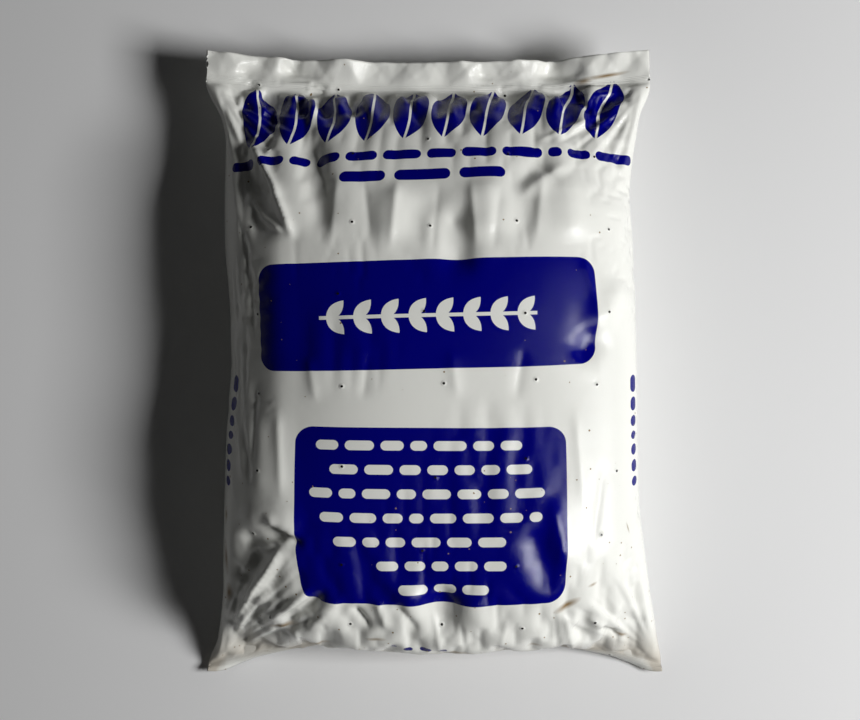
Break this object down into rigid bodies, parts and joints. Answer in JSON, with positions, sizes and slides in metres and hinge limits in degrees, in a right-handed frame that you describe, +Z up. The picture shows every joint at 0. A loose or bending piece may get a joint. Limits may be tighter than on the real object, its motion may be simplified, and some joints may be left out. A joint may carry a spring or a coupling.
{
  "type": "bag of topsoil",
  "caption": "Sealed white polythene sack filled with topsoil, lying on its back, with flat ears at its corners and navy printed fields on its front.",
  "frame": {"origin": "on the floor, under the middle of the bag's bounding box", "axes": "+X across the bag, +Y along it towards the top seal, +Z up, out of its printed front"},
  "size_m": [0.4632, 0.6292, 0.1426],
  "materials": {
    "film": "glossy white polythene film with navy printing"
  },
  "bodies": {
    "root": {"filled_bag": "film"}
  },
  "joints": []
}
